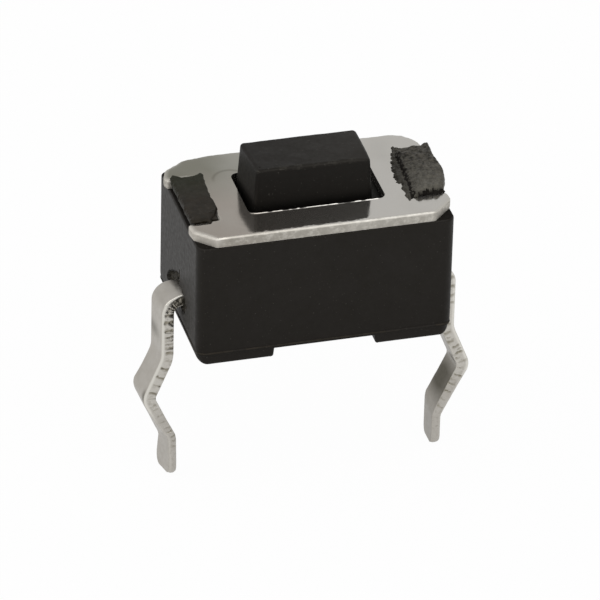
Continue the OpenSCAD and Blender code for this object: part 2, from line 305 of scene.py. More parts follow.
def melted_head(points, thickness, relief, undercut, seed, roughness, step):
    """Melted head that lies on the plate. Its rim is a strip that bulges between the plate and the
    edge of the top, and the top is a sheet whose height over the plate is relief(points). Over the
    open end of the notch the rim hangs 0.12 mm lower, down the post."""
    line, normals = ragged(points, step, roughness, seed)
    rise = lambda flat: plate_top + relief(flat, depth_inside(flat, line))
    top = sheet([line], rise, [inner_grid(line, 0.02, 0.012)])
    rows, buried = 7, 0.015
    share = np.linspace(0, 1, rows)[:, None, None]
    flare = np.sin(share * math.pi) * 0.22 * thickness - share * undercut
    hang = np.clip((abs(line[:, 0]) - 2.92) / 0.04, 0, 1) * np.clip((0.95 - abs(line[:, 1])) / 0.1, 0, 1)
    foot = plate_top - buried - 0.12 * hang[None, :, None]
    height = rise(line)[None, :, None] * (1 - share) + foot * share
    rim = np.concatenate([line[None] + normals[None] * flare, height], 2)
    n = len(line)
    under = cap(rim, -1, plate_top - buried)
    skirt = np.concatenate([rim[-1], under[0][:n]])
    return [top, (rim, rows_to_quads(rows, n)), (skirt, rows_to_quads(2, n)), under]


def left_relief(flat, depth):
    """Height over the plate: 0.05 mm with shallow press marks, falling to 0.02 mm at the edge,
    steeply at the sides and in a slow curl over 0.1 mm at the front."""
    edge = np.clip(depth / np.where(flat[:, 1] < -0.8, 0.1, 0.04), 0, 1)
    marks = 0.006 * noise(flat, 0.25, 5) + 0.002 * noise(flat * (1, 0.5), 0.05, 6)
    at_corner = np.clip((flat[:, 0] + 2.55) / 0.08, 0, 1) * (flat[:, 1] < -0.6)
    marks += 0.02 * np.clip(noise(flat, 0.07, 7), 0, 1) * at_corner
    return 0.015 + 0.037 * np.sqrt(edge * (2 - edge)) + edge * marks


left_outline = [
    (-2.97, -0.98), (-2.9, -1.0), (-2.78, -0.99), (-2.66, -0.97), (-2.6, -1.01), (-2.55, -1.06),
    (-2.52, -1.08), (-2.5, -0.98), (-2.43, -0.86), (-2.34, -0.72), (-2.25, -0.53), (-2.25, -0.3),
    (-2.27, 0.05), (-2.25, 0.4), (-2.23, 0.82), (-2.19, 0.97), (-2.25, 1.05), (-2.33, 0.99),
    (-2.45, 0.95), (-2.72, 0.94), (-2.81, 1.03), (-2.9, 1.07), (-2.97, 0.96)]
left_head = melted_head(left_outline, 0.05, left_relief, 0.02, 11, 0.02, 0.02)


def lap_relief(flat, depth):
    """Height of the thin torn lap: 0.06 mm, falling away at its edge, rough all over."""
    edge = np.clip(depth / 0.04, 0, 1)
    return 0.012 + 0.05 * edge + edge * (0.012 * noise(flat, 0.06, 21) + 0.01 * noise(flat, 0.03, 22))


def slab_relief(flat, depth):
    """Height of the swollen slab: a flank that climbs 0.12 mm to a ragged ridge near x = 2.32, a
    pebbled top that rises a little more towards the end wall, and a round roll at the edge."""
    x, y = flat[:, 0], flat[:, 1]
    ridge = 2.33 + 0.025 * noise(flat, 0.2, 31) + 0.015 * noise(flat, 0.06, 30)
    climb = np.clip((x - ridge + 0.11) / 0.11, 0, 1)
    edge = np.clip(depth / np.where(x > 2.4, 0.07, 0.03), 0, 1)
    long = flat * (1, 0.5)
    pebbles = noise(long, 0.11, 33) + 0.8 * noise(long, 0.05, 34) + 0.5 * noise(long, 0.028, 35)
    pit = np.exp(-((x - 2.65) ** 2 + (y + 0.76) ** 2) / 0.05 ** 2)
    outer = np.clip((x - 2.35) / 0.5, 0, 1) * climb
    groove = np.exp(-((x - ridge - 0.02) / 0.025) ** 2) * np.clip(0.5 + noise(flat, 0.15, 36), 0, 1)
    top = 0.035 + 0.1 * climb + 0.05 * outer - 0.025 * pit - 0.03 * groove
    return (top + 0.014 * pebbles * (0.5 + climb)) * np.sqrt(edge * (2 - edge)) + 0.02


lap_outline = [
    (2.06, -1.2), (2.12, -1.08), (2.22, -1.0), (2.4, -0.98), (2.84, -1.04), (2.93, -0.95), (2.96, -0.85),
    (2.96, 0.95), (2.9, 1.03), (2.6, 1.07), (2.43, 1.05), (2.41, 1.17), (2.37, 1.05), (2.31, 1.22),
    (2.3, 1.05), (2.24, 0.94), (2.17, 0.7), (2.1, 0.45), (2.05, 0.1), (2.01, -0.11), (2.0, -0.35),
    (2.09, -0.43), (2.06, -0.61), (2.1, -0.8), (2.03, -0.93), (2.07, -1.0), (2.04, -1.1)]
slab_outline = [
    (2.19, -1.07), (2.38, -1.02), (2.6, -0.99), (2.82, -0.97), (2.95, -0.86), (3.04, -0.66), (3.1, -0.44),
    (3.13, -0.17), (3.1, 0.2), (3.09, 0.45), (3.1, 0.7), (3.1, 0.92), (3.0, 0.96), (2.88, 0.88), (2.6, 0.92),
    (2.4, 0.88), (2.26, 0.78), (2.24, 0.4), (2.22, 0.0), (2.2, -0.4), (2.17, -0.8)]
right_head = (melted_head(lap_outline, 0.06, lap_relief, 0.01, 41, 0.05, 0.012)
              + melted_head(slab_outline, 0.15, slab_relief, 0.1, 51, 0.015, 0.02))

# Posts between the housing and their heads.
posts, post_base, post_top = [], 3.05, 3.36
for side in (-1, 1):
    post = rectangle(side * 2.625 - 0.275, side * 2.625 + 0.275, -0.95, 0.95, 0.03, 0.3)
    grid, quads = carried(post, [(0, post_base), (0, post_top)])
    posts += [(grid, quads), cap(grid, 0, post_base), cap(grid, -1, post_top)]

housing = make_piece("housing_moulding",
                     [(wall, wall_quads), *inside, *feet, *left_head, *right_head, *posts])


def tone(red, green, blue):
    """Colour for a shader from its 0 to 255 screen values: ((c / 255 + 0.055) / 1.055) ^ 2.4."""
    return (*[((c / 255 + 0.055) / 1.055) ** 2.4 for c in (red, green, blue)], 1)


def add(tree, kind, sockets=(), **settings):
    """One shader node. settings are its own options, and sockets gives each input a value or the
    output of another node."""
    made = tree.nodes.new("ShaderNode" + kind)
    for key, value in settings.items():
        setattr(made, key, value)
    for key, value in dict(sockets).items():
        if isinstance(value, bpy.types.NodeSocket):
            tree.links.new(value, made.inputs[key])
        else:
            made.inputs[key].default_value = value
    return made


def mix(tree, share, first, second):
    """Colour between two colours, by a share from 0 to 1."""
    return add(tree, "MixRGB", {"Fac": share, "Color1": first, "Color2": second}).outputs[0]


def reckon(tree, operation, *values):
    """Result of one Math node on numbers or on other nodes' outputs."""
    return add(tree, "Math", enumerate(values), operation=operation).outputs[0]


def attribute(tree, key):
    """A piece's own attribute, by its name."""
    return add(tree, "Attribute", attribute_name=key).outputs["Fac"]


def away_from(tree, place, spot):
    """Distance in metres from a spot given in millimetres."""
    return add(tree, "VectorMath", {0: place, 1: tuple(c * MM for c in spot)},
               operation="DISTANCE").outputs["Value"]


def finish(name, **plain):
    """Empty material with a Principled shader whose plain values are set on its own sockets."""
    material = bpy.data.materials.new(name)
    material.use_nodes = True
    shader = material.node_tree.nodes["Principled BSDF"]
    for key, value in plain.items():
        shader.inputs[key.replace("_", " ")].default_value = value
    return material, material.node_tree, shader


def speckle(tree, place, size, detail=3.0):
    """Noise texture whose lumps have one size in millimetres."""
    return add(tree, "TexNoise", {"Vector": place, "Scale": 1 / (size * MM), "Detail": detail,
                                  "Roughness": 0.6}).outputs["Fac"]


def spread(tree, value, low, high, new_low, new_high):
    """Map a value from one range to another, held at both ends."""
    return add(tree, "MapRange", {"Value": value, "From Min": low, "From Max": high,
                                  "To Min": new_low, "To Max": new_high}).outputs[0]


def grain(tree, place, size, depth, detail, shader):
    """Bump of fine lumps, size and depth in millimetres, on a shader."""
    bump = add(tree, "Bump", {"Height": speckle(tree, place, size, detail), "Distance": depth * MM,
                              "Strength": 1.0})
    tree.links.new(bump.outputs[0], shader.inputs["Normal"])


def nylon(name, dark, light, rough, size, depth, cloud=0.5, drifts=()):
    """Moulded nylon: two close tones in soft clouds, fine pale specks where fibres reach the skin,
    and a bump of fine grain of one size and depth. rough is the lowest and highest roughness. Each
    drift, given by axis, two places on it, a share and a tone, changes the colour evenly from one
    place to the other."""
    material, tree, shader = finish(name, IOR=1.5, Specular_IOR_Level=0.2, Specular_Tint=(1, 0.93, 0.84, 1))
    place = add(tree, "TexCoord").outputs["Object"]
    split = add(tree, "SeparateXYZ", {"Vector": place})
    body = mix(tree, spread(tree, speckle(tree, place, cloud), 0.35, 0.65, 0, 1), dark, light)
    for axis, start, end, share, colour in drifts:
        body = mix(tree, spread(tree, split.outputs[axis], start * MM, end * MM, 0, share), body, colour)
    specks = spread(tree, speckle(tree, place, 0.045, 1.0), 0.7, 0.78, 0, 0.22)
    tree.links.new(mix(tree, specks, body, tone(110, 108, 102)), shader.inputs["Base Color"])
    tree.links.new(spread(tree, speckle(tree, place, 0.12), 0.3, 0.7, *rough), shader.inputs["Roughness"])
    grain(tree, place, size, depth, 3.0, shader)
    return material


def face_values(piece, what):
    """The middle or the normal of each face of a piece, as three rows for X, Y and Z."""
    values = np.empty(len(piece.data.polygons) * 3)
    piece.data.polygons.foreach_get(what, values)
    return values.reshape(-1, 3).T


along, across, height = face_values(housing, "center") / MM
# The finishes by their place in the list: the walls, darker towards the bottom as painted shade; painted
# shade on the housing's top and the shaded parts of the right head; the left head, and a painted
# highlight in broken streaks on the parting line; the right head; and the sunk faces.
walls, dull, pressed, swollen, broken = range(5)
for nylon_finish in (
        # The walls darken towards the bottom, from 1.9 mm down to 0.3 mm: painted shade.
        nylon("black_nylon", tone(20, 18, 15), tone(24, 22, 20), (0.45, 0.58), 0.05, 0.0015, 0.5,
              [("Z", 1.9, 0.3, 0.5, tone(10, 7, 4))]),
        nylon("painted_shade_nylon", tone(12, 10, 8), tone(18, 16, 13), (0.8, 0.95), 0.05, 0.004),
        nylon("pressed_nylon", tone(25, 22, 16), tone(37, 32, 25), (0.5, 0.65), 0.06, 0.002, 0.2,
              [("Y", -0.1, 0.9, 0.8, tone(27, 31, 17))]),
        nylon("torn_nylon", tone(18, 17, 12), tone(80, 77, 70), (0.4, 0.6), 0.05, 0.009, 0.08,
              [("Y", 0.3, -0.9, 0.33, tone(125, 122, 113)), ("X", 2.4, 2.15, 0.55, tone(24, 22, 17))]),
        nylon("broken_nylon", tone(20, 18, 14), tone(66, 63, 56), (0.7, 0.9), 0.08, 0.006, 0.1)):
    housing.data.materials.append(nylon_finish)
spot = np.stack([along, across], 1)
# Faces from 3.08 mm to 3.2 mm, the housing's top round the plate's corners, take the dark finish: painted
# shade.
kind = np.where(height > 3.2, np.where(along < 0, pressed, swollen), np.where(height > 3.08, dull, walls))
sunk_in = (abs(along) < 2.96) & (abs(along) > 2.7) & (abs(across) < 1.3) & (height < 2) & (height > 0.5)
kind = np.where(sunk_in, broken, kind)
# The underside of the slab's front takes the dark finish: painted shade.
under = (across < -0.93 + 0.03 * noise(spot, 0.15, 40)) & (height < 3.45 + 0.015 * noise(spot, 0.1, 41))
kind = np.where((along > 2.3) & under & (height > 3.2), dull, kind)
# A ragged band along the valley between lap and slab takes the dark finish: painted shade.
from_valley = abs(along - 2.25 - 0.068 * across + 0.03 * noise(spot, 0.12, 37))
in_valley = from_valley < 0.035 + 0.04 * noise(spot, 0.035, 38)
kind = np.where(in_valley & (height > 3.3) & (across < 0.8), dull, kind)
# A broken band on the parting bead takes the paler finish of the left head: a painted highlight.
on_bead = (height > 0.3) & (height < 0.335) & (noise(spot, 0.4, 39) > -0.35)
kind = np.where((kind == walls) & on_bead, pressed, kind)
housing.data.polygons.foreach_set("material_index", kind.astype(np.int32))
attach(housing, "switch_case")
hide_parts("housing")


# ---- Legs ----------------------------------------------------------------------------------
# Two tinned brass strips, blanked and then bent. Each runs out of the housing, turns down over
# a shoulder, kinks outwards to grip the board, and ends in a thinned round tip. The broad faces
# are smooth, and the sheared edges show a clean band and tear marks.

strip_t, strip_w = 0.3, 0.7
bend_radii = (0.3, 0.8, 0.32, 0.5)
left_path = [(3.35, 0.93), (3.35, -0.63), (3.79, -1.68), (3.2, -2.9), (3.2, -3.88)]
right_path = [(3.35, 0.78), (3.35, -0.78), (3.77, -1.83), (3.16, -3.05), (3.16, -4.0)]


def leg_line(inner, corners):
    """Middle line of a leg in X and Z from an inner end out: the corners with each bend drawn as an
    arc, then resampled by length, coarse inside the housing and fine outside it. Returns the
    points, the unit normals on the outer side and the lengths."""
    path = np.array([(inner, corners[0][1]), *corners])
    line, out = [path[0]], [(0, 1)]
    for a, b, c, r in zip(path[:-2], path[1:-1], path[2:], bend_radii):
        u, v = (b - a) / np.linalg.norm(b - a), (c - b) / np.linalg.norm(c - b)
        turn = math.atan2(u[0] * v[1] - u[1] * v[0], u @ v)
        swing = turn * np.linspace(0, 1, 25)[:, None]
        left = np.array([-u[1], u[0]])
        normal = left * np.cos(swing) - u * np.sin(swing)
        start = b - u * r * math.tan(abs(turn) / 2)
        line.extend(start + math.copysign(r, turn) * (left - normal))
        out.extend(normal)
    line, out = np.array([*line, path[-1]]), np.array([*out, (1, 0)])
    length = np.concatenate([[0], np.cumsum(np.linalg.norm(np.diff(line, axis=0), axis=1))])
    wall_at = 2.75 - inner
    places = np.concatenate([np.linspace(0, wall_at, 6)[:-1], np.arange(wall_at, length[-1] - 0.3, 0.0125),
                             length[-1] - 0.3 * (1 - np.sin(np.linspace(0, math.pi / 2, 24)))])
    normals = np.stack([np.interp(places, length, out[:, i]) for i in (0, 1)], 1)
    normals /= np.linalg.norm(normals, axis=1)[:, None]
    return np.stack([np.interp(places, length, line[:, i]) for i in (0, 1)], 1), normals, places


def strip_section():
    """Rounded rectangle round a strip, as places across its thickness and its width from -1 to 1.
    Its corners have a radius of 0.035 mm."""
    half, pitch = (strip_t / 2, strip_w / 2), strip_t / 14
    outline, _ = rectangle(-half[0], half[0], -half[1], half[1], 0.035, [pitch, 0.05, pitch, 0.05])
    return outline / half


def formed_leg(name, side, inner, corners, marks, painted_shade, bent):
    """Strip carried along the leg's middle line. Half its thickness is 0.15 mm down to the kink and
    falls evenly to 0.11 mm at the last bend; half its width follows the round tip. Each mark, given
    by its height, length up the leg, depth and the part of the edge that it crosses, is a groove
    exp(-(distance / length)^2) in the sheared edge. bent(x, y, z) gives the small turn out of true
    that the forming left in each place."""
    line, normals, places = leg_line(inner, corners)
    section = strip_section()
    kink, last_bend, tip = (corners[i][1] for i in (2, 3, 4))
    half_t = strip_t / 2 - 0.04 * np.clip((kink - line[:, 1]) / (kink - last_bend), 0, 1)
    to_tip = np.maximum(line[:, 1] - tip, 0)
    flat_tip, tip_round = 0.08, 0.27
    half_w = flat_tip + tip_round * np.sqrt(1 - np.clip(1 - to_tip / tip_round, 0, 1) ** 2)
    half_t = half_t * (0.35 + 0.65 * np.sqrt(1 - np.clip(1 - to_tip / 0.09, 0, 1) ** 2))
    across, wide = section[:, 0], section[:, 1]
    on_edge = np.clip((abs(wide) - 0.93) / 0.04, 0, 1)
    flat = line[:, None] + normals[:, None] * (across[None, :, None] * half_t[:, None, None])
    y = wide[None] * half_w[:, None]
    along = np.broadcast_to(places[:, None], y.shape).ravel()
    over = np.broadcast_to(across[None] * (strip_t / 2), y.shape).ravel()
    front, back_shift = np.broadcast_to((wide < 0)[None], y.shape), 37
    tear = np.zeros(y.shape)
    for height, size, depth, low, high in marks:
        on_line = np.argmin(abs(line[:, 1] - height) + 10 * (line[:, 0] < 3.0))
        bend = 0.012 * noise(np.stack([over * 3, along * 0 + height], 1), 0.12, 61).reshape(y.shape)
        waist = size * (0.95 + 0.8 * across[None] ** 2)
        groove = np.exp(-((places[:, None] - places[on_line] + bend) / waist) ** 2)
        window = np.clip((across - low) / 0.3, 0, 1) * np.clip((high - across) / 0.3, 0, 1)
        tear = np.maximum(tear, depth * groove * window[None])
    tear = np.where(front, tear, np.roll(tear, back_shift, 0))
    cracks = (noise(np.stack([over + 9, along], 1), 0.05, 62)
              + 0.6 * noise(np.stack([over * 0.5, along], 1), 0.022, 63))
    low_down = np.clip((-1.9 - line[:, 1, None]) / 0.4, 0, 1)
    broken = np.clip((0.5 + 0.7 * low_down - across[None]) / 0.2, 0, 1) * (1 - 0.2 * low_down)
    cracks = cracks.reshape(y.shape) * broken
    tear = np.clip(0.9 * tear + 0.35 * np.clip(cracks, 0, 1), 0, 1)
    at_wall = np.clip((3.32 - line[:, :1]) / 0.15, 0, 1) * (line[:, 1:] > 0)
    tear = np.maximum(tear, 0.8 * at_wall * np.clip((0.7 - across[None]) / 0.2, 0, 1))
    eased = 0.01 + 0.035 * np.clip((-2.6 - line[:, 1, None]) / 0.3, 0, 1)
    eased = eased * across[None] ** 2 * abs(wide[None]) ** 6
    grid = np.stack([side * flat[..., 0], y, flat[..., 1]], -1)
    grid += bent(flat[..., 0], y, flat[..., 1])
    grid[..., 1] -= np.sign(wide)[None] * (on_edge[None] * (0.025 * tear + 0.006 * cracks) + eased)
    ends = [sheet_across(grid[0]), sheet_across(grid[-1])]
    # Painted shade and dark reflection on the broad faces.
    painted_shade_values = painted_shade(line[:, None, 1], across[None], y)
    shine = (1 - 0.7 * low_down) * np.maximum(np.exp(-((across - 0.75) / 0.3) ** 2), 0.4) * on_edge
    plain = np.zeros(sum(len(e[0]) for e in ends))
    values = {key: np.concatenate([value.ravel(), plain])
              for key, value in (("torn", tear * on_edge[None]), ("painted_shade", painted_shade_values), ("burnish", shine))}
    return make_piece(name, [(grid, rows_to_quads(*y.shape)), *ends], values)


def sheet_across(loop):
    """End cap: triangles from the middle of a loop to each of its sides."""
    n = np.arange(len(loop))
    triangles = np.stack([n, (n + 1) % len(n), np.full(len(n), len(n))], 1)
    return np.concatenate([loop, loop.mean(0)[None]]), triangles


def tinned(name):
    """Tin plate that dulls in soft clouds. Three attributes add to it: torn, the brown grooves of the
    sheared edge; burnish, its bright clean band; and painted_shade, brown-grey painted shade and dark
    reflection on a face."""
    material, tree, shader = finish(name, Metallic=1.0)
    place = add(tree, "TexCoord").outputs["Object"]
    clouds = spread(tree, speckle(tree, place, 0.35), 0.3, 0.7, 0, 1)
    clean = mix(tree, clouds, tone(174, 169, 161), tone(185, 181, 174))
    # Brown-grey painted shade and dark reflection on the faces.
    shaded_and_burnished = mix(tree, attribute(tree, "painted_shade"), clean, tone(90, 86, 76))
    shaded_and_burnished = mix(tree, attribute(tree, "burnish"), shaded_and_burnished, tone(226, 223, 215))
    torn = spread(tree, attribute(tree, "torn"), 0.1, 0.9, 0, 0.85)
    tree.links.new(mix(tree, torn, shaded_and_burnished, tone(134, 128, 112)), shader.inputs["Base Color"])
    tree.links.new(spread(tree, speckle(tree, place, 0.08), 0.3, 0.7, 0.3, 0.42), shader.inputs["Roughness"])
    grain(tree, place, 0.06, 0.0012, 3.0, shader)
    return material


def left_bent(x, y, z):
    """The left leg turns 0.12 mm per mm of width once it is out of the wall and more at its tip,
    and its bends are not quite square to it."""
    free = np.clip((x - 3.0) / 0.25, 0, 1)
    turn = free * (0.12 + 0.1 * np.clip((-z - 3.0) / 0.5, 0, 1))
    lift = 0.1 * (y - 0.35) * np.clip((z + 0.2) / 0.6, 0, 1) * np.clip((x - 2.9) / 0.3, 0, 1)
    at_kink, at_last_bend = np.exp(-((z + 1.68) / 0.45) ** 2), np.exp(-((z + 2.9) / 0.35) ** 2)
    lift += 0.18 * (y + 0.35) * at_kink - 0.26 * y * at_last_bend
    return np.stack([-turn * y, 0 * y, lift], -1)


def right_bent(x, y, z):
    """The right leg turns by 0.06 mm per mm of width. Its last bend slants, with the back higher."""
    free = np.clip((x - 3.05) / 0.2, 0, 1)
    lift = (0.03 + 0.35 * y) * np.exp(-((z + 3.05) / 0.35) ** 2)
    return np.stack([-0.06 * free * (y + 0.35), 0 * y, lift], -1)


def left_painted_shade(z, across, y):
    """Painted dark reflection in a patch on the outer face at the first bend, and a painted shade line at the
    kink's near side.
    """
    patch = 0.6 * np.exp(-((z - 0.0) / 0.17) ** 2) * np.clip((y + 0.25) / 0.3, 0, 1)
    crease = 0.8 * np.exp(-((z + 1.66 + 0.1 * y) / 0.13) ** 2) * np.exp(-((y + 0.3) / 0.06) ** 2)
    return (patch + crease) * (across > 0.9)


def right_painted_shade(z, across, y):
    """Brown painted shade and dark reflection on the inner face, strongest from the first bend to past the
    kink.
    """
    deep = np.clip((-z - 1.8) / 0.4, 0, 1) * np.clip((z + 2.95) / 0.4, 0, 1)
    edge = np.exp(-((y - 0.05) / 0.3) ** 2)
    return (0.25 + 0.8 * deep * (0.7 + 0.3 * edge)) * (across < -0.9) * (z < -0.9)


left_marks = [
    (0.87, 0.04, 0.8, -1.2, 0.3), (0.8, 0.03, 0.7, -1.2, 0.4), (0.72, 0.025, 0.6, -1.2, 0.5),
    (0.62, 0.04, 1, -1.3, 0.6), (0.42, 0.05, 1, -1.3, 0.8), (0.18, 0.045, 1, -1.3, 0.7),
    (-0.02, 0.03, 0.8, -1.2, 0.6), (-0.13, 0.018, 0.6, -1.1, 0.6), (-0.22, 0.02, 0.7, -1.1, 0.6),
    (-0.34, 0.03, 0.8, -1.3, 0.6), (-0.47, 0.035, 0.9, -1.3, 0.5), (-0.67, 0.025, 0.5, -1.2, 0.4),
    (-0.87, 0.03, 1, -1.2, 0.6), (-1.1, 0.025, 1, -1.1, 0.7), (-1.3, 0.022, 0.7, -1.1, 0.6),
    (-1.5, 0.026, 1, -1.2, 0.6), (-1.65, 0.02, 0.5, -1.2, 0.5), (-1.87, 0.025, 0.5, -0.8, 0.7),
    (-1.98, 0.02, 0.5, -0.8, 0.4), (-2.15, 0.025, 0.35, -1, 0.3), (-2.35, 0.02, 0.45, -0.9, 0.6),
    (-2.55, 0.025, 0.5, -1, 0.2), (-2.7, 0.025, 0.9, -0.8, 0.5), (-2.85, 0.022, 0.8, -1.1, 0.5),
    (-2.97, 0.02, 0.6, -1.1, 0.3), (-3.1, 0.025, 0.5, -1, 0.3)]
right_marks = [
    (0.6, 0.035, 0.9, -1, 1), (0.38, 0.04, 1, -1, 1), (0.14, 0.035, 0.8, -1, 1),
    (-0.06, 0.03, 0.8, -1, 1), (-0.45, 0.04, 0.8, -1, 0.4), (-0.65, 0.035, 0.5, -0.8, 0.6),
    (-0.87, 0.032, 0.8, -1.1, 0.4), (-1.0, 0.02, 0.6, -0.9, 0.1), (-1.11, 0.035, 0.9, -1.1, 0.3),
    (-1.29, 0.035, 0.9, -0.7, 0.8), (-1.38, 0.02, 0.7, -0.2, 0.9), (-1.47, 0.03, 1, -0.6, 0.9),
    (-1.6, 0.025, 0.5, -1, 0.2), (-1.72, 0.028, 0.6, -0.7, 1), (-1.9, 0.025, 0.4, -1, 0.3),
    (-2.1, 0.022, 0.9, -0.9, 1), (-2.22, 0.02, 0.5, -1.1, 0.4), (-2.33, 0.022, 0.8, -1.1, 0.7),
    (-2.51, 0.022, 0.8, -1.1, 0.6), (-2.7, 0.02, 0.6, -1.1, 0.3), (-2.86, 0.02, 0.6, -1, 0.8),
    (-3.1, 0.025, 0.3, -1, 0.5)]
tin = tinned("tinned_strip")
left_leg = formed_leg("left_leg", -1, 1.0, left_path, left_marks, left_painted_shade, left_bent)
right_leg = formed_leg("right_leg", 1, -0.35, right_path, right_marks, right_painted_shade, right_bent)
for leg, node in ((left_leg, "left_terminal"), (right_leg, "right_terminal")):
    leg.data.materials.append(tin)
    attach(leg, "switch_case")
    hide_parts(node)


# ---- Snap dome -----------------------------------------------------------------------------
# Round spring-steel disc, stamped to a shallow dome. It clicks flat under the plunger, closes
# the contact and lifts the button again. It lies loose on the floor of the well.

dome_rim, dome_foot, dome_crest, dome_sheet = 1.35, 1.17, 1.55, 0.07


def dome_section(crest, rim, foot, steps=24):
    """Radius and height along a shallow arc from the middle to the rim: the circle through the
    crest and the rim's edge."""
    rise = crest - foot
    radius = (rim * rim + rise * rise) / (2 * rise)
    out = np.linspace(0.02, rim, steps)
    return out, crest - radius + np.sqrt(radius * radius - out * out)


over, over_z = dome_section(dome_crest, dome_rim, dome_foot)
under, under_z = dome_section(dome_crest - dome_sheet, dome_rim - 0.12, dome_foot)
section = np.column_stack([np.concatenate([over, under[::-1]]), np.concatenate([over_z, under_z[::-1]])])
disc = carried(ring(0.0), section)
dome = make_piece("spring_dome", [disc, cap(disc[0], 0, over_z[0]), cap(disc[0], -1, under_z[0])])
steel, tree, shader = finish("spring_steel", Metallic=1.0)
place = add(tree, "TexCoord").outputs["Object"]
clouds = spread(tree, speckle(tree, place, 0.3), 0.3, 0.7, 0, 1)
tree.links.new(mix(tree, clouds, tone(178, 176, 172), tone(192, 190, 186)), shader.inputs["Base Color"])
tree.links.new(spread(tree, speckle(tree, place, 0.06), 0.3, 0.7, 0.2, 0.32), shader.inputs["Roughness"])
dome.data.materials.append(steel)
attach(dome, "switch_case")
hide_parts("snap_dome")
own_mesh(dome)


# ---- Button --------------------------------------------------------------------------------
# Black nylon moulding: a drafted oblong top with eased edges, a flange that the plate holds down,
# and a round plunger that bears on the dome. It sits a little to the left of its hole's middle.

button_x, button_top, draft = -0.05, 4.3, math.tan(math.radians(4))
crown_base, flange_base, flange_top, plunger_foot, plunger_top = 3.0, 2.68, 3.08, 1.55, 2.75
crown = rounded_outline([(button_x - 1.32, -0.66), (button_x + 1.32, -0.66), (button_x + 1.32, 0.66),
                         (button_x - 1.4, 0.66)], 0.1, 0.06)
crown_side, crown_quads = carried(crown, np.concatenate([
    [(draft * (button_top - z), z) for z in (crown_base, 3.3, 3.6, 3.9, 4.1)],
    arc_profile((draft * 0.08, 4.22), (-0.08, button_top), (-0.08, 4.22), 7), [(-0.09, button_top)]]))


def worn(flat):
    """Wear of the crown: 0.055 mm at its front right corner, fading over 0.25 mm, and a ripple."""
    corner = np.exp(-((flat[:, 0] - 1.27) ** 2 + (flat[:, 1] + 0.66) ** 2) / 0.25 ** 2)
    return 0.055 * corner + 0.006 * noise(flat, 0.3, 81) + 0.002 * noise(flat, 0.08, 82)


side_points = crown_side.reshape(-1, 3)
side_points[:, 2] -= worn(side_points[:, :2]) * np.clip((side_points[:, 2] - 4.1) / 0.2, 0, 1)
crown_edge = crown_side[-1, :, :2]
crown_top = sheet([crown_edge], lambda flat: button_top - worn(flat), [inner_grid(crown_edge, 0.06, 0.03)])
flange, flange_quads = carried(rectangle(button_x - 1.8, button_x + 1.8, -1.1, 1.1, 0.18, 0.2), [
    (-0.02, flange_base), (0, 2.7), (0, 3.06), (-0.02, flange_top)])
plunger_ring, plunger_out = ring(0.45)
plunger, plunger_quads = carried((plunger_ring + (button_x, 0), plunger_out), [
    (-0.05, plunger_foot), (-0.015, 1.565), (0, 1.6), (0, plunger_top)])
button = make_piece("button_moulding", [
    (crown_side, crown_quads), cap(crown_side, 0, crown_base), crown_top,
    (flange, flange_quads), cap(flange, 0, flange_base), cap(flange, -1, flange_top),
    (plunger, plunger_quads), cap(plunger, 0, plunger_foot), cap(plunger, -1, plunger_top)])
# Below its top the button is darker, from 4.28 mm down to 4.2 mm: painted shade on its sides.
button.data.materials.append(nylon(
    "button_nylon", tone(13, 11, 9), tone(17, 15, 13), (0.42, 0.55), 0.05, 0.001, 0.5,
    [("X", -1.2, 1.2, 0.9, tone(29, 27, 24)), ("Z", 4.28, 4.2, 0.9, tone(9, 8, 7))]))
button.data.materials.append(nylon(
    "highlight_nylon", tone(24, 23, 20), tone(44, 42, 38), (0.4, 0.5), 0.05, 0.001, 0.1))
# The front upper edge is painted pale in streaks: a painted highlight.
along, across, height = face_values(button, "center") / MM
streaks = (noise(np.stack([along, across * 0], 1), 0.2, 83)
           + 0.5 * noise(np.stack([along, height * 3], 1), 0.05, 84))
painted_edge_highlight = (streaks > 0.1) & (height > 4.225) & (across < -0.57) & (across > -0.68)
button.data.polygons.foreach_set("material_index", painted_edge_highlight.astype(np.int32))
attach(button, "pusher")
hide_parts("button")


# ---- Cover plate ---------------------------------------------------------------------------
# Nickel-plated steel, blanked 0.25 mm thick: chamfered corners, the button's hole, and an open
# notch at each end that drops over a post. Blanking rolls its upper edges over.

plate_base = 3.1
x, y = body_half
notch_x, notch_y = 2.32, 0.96
plate_outline = rounded_outline([
    (x, notch_y), (x, y + 0.02), (-1.8, 1.82), (-2.53, 1.73), (-2.96, 1.46), (-3.09, 1.12), (-3.03, notch_y),
    (-notch_x, notch_y), (-notch_x, -notch_y), (-3.06, -notch_y), (-3.01, 0.43 - y), (0.43 - x, -y),
    (x - 0.48, -y), (x, 0.48 - y), (x, -notch_y), (notch_x, -notch_y), (notch_x, notch_y)],
    [0.1, 0.68, 0.8, 0.5, 0.25, 0.15, 0.05, 0.05, 0.05, 0.1, 0.12, 0.12, 0.12, 0.15, 0.1, 0.05, 0.05], 0.05)
hole_outline = rectangle(-1.6, 1.6, -0.9, 0.9, 0.18, 0.05)


def on_tab(flat):
    """1 on the two tabs at the left end, 0 on the rest of the plate."""
    return np.clip((-flat[:, 0] - 2.45) / 0.2, 0, 1)


